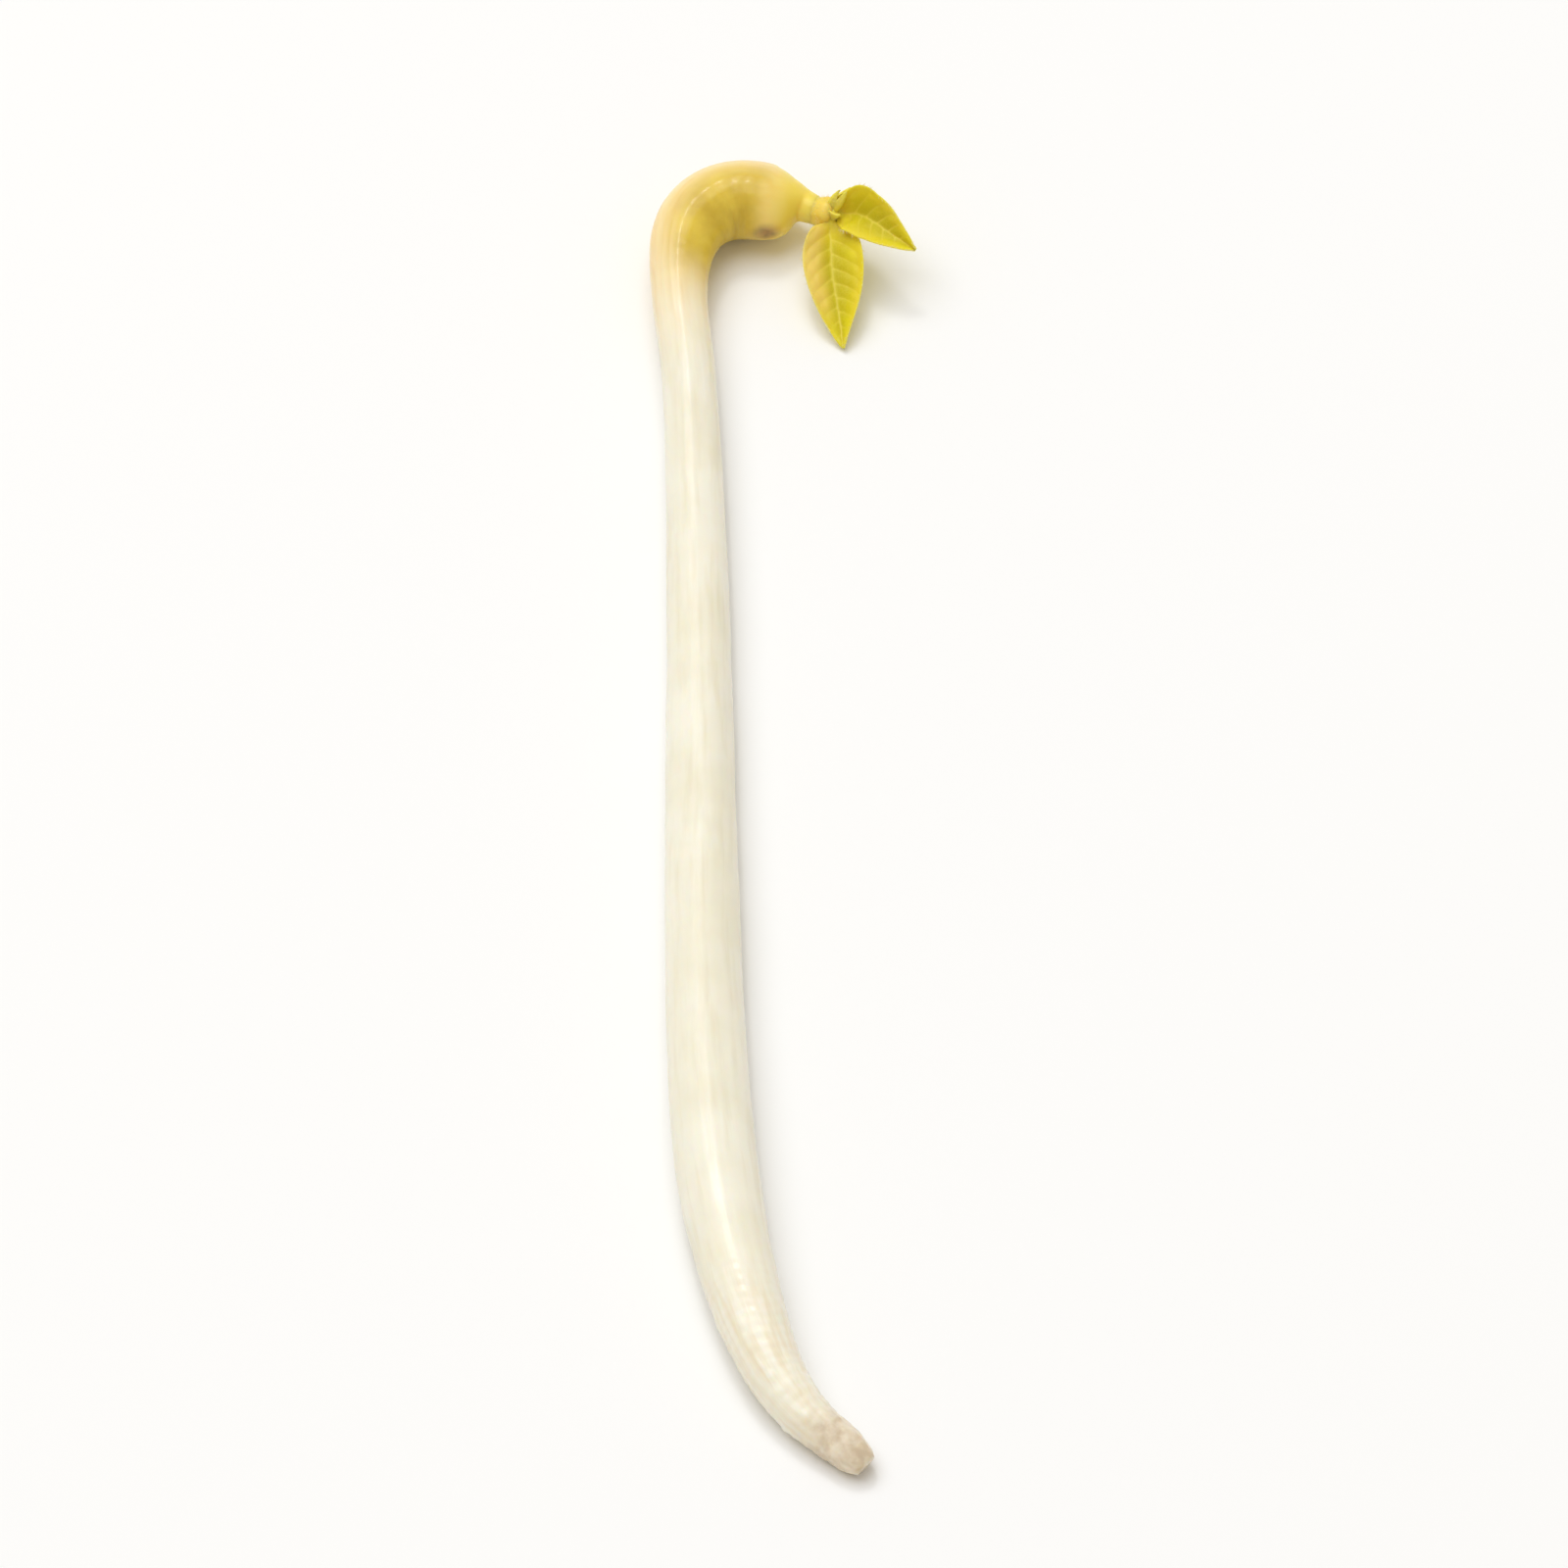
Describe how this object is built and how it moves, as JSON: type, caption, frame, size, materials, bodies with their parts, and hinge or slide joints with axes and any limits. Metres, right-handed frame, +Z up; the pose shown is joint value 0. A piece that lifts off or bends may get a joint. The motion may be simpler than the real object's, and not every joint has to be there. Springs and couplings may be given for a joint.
{
  "type": "mung bean sprout",
  "caption": "Mung bean sprout lying down: tapering root, thick white stem that thins to a hooked neck, and a short yellow shoot with a bud and folded first leaves.",
  "frame": {"origin": "on the surface that the sprout lies on, under the middle of its box", "axes": "+Y along the stem from the root towards the hook, +X towards the side that the hook and the root tip bend to, +Z up from the surface"},
  "size_m": [0.0086, 0.0504, 0.0031],
  "materials": {
    "stem": "moist, translucent creamy white",
    "shoot": "moist, translucent yellow",
    "leaf": "soft satin lime yellow"
  },
  "bodies": {
    "root": {"stem_and_root": "stem", "shoot": "shoot", "leaf_front": "leaf", "leaf_side": "leaf"}
  },
  "joints": []
}
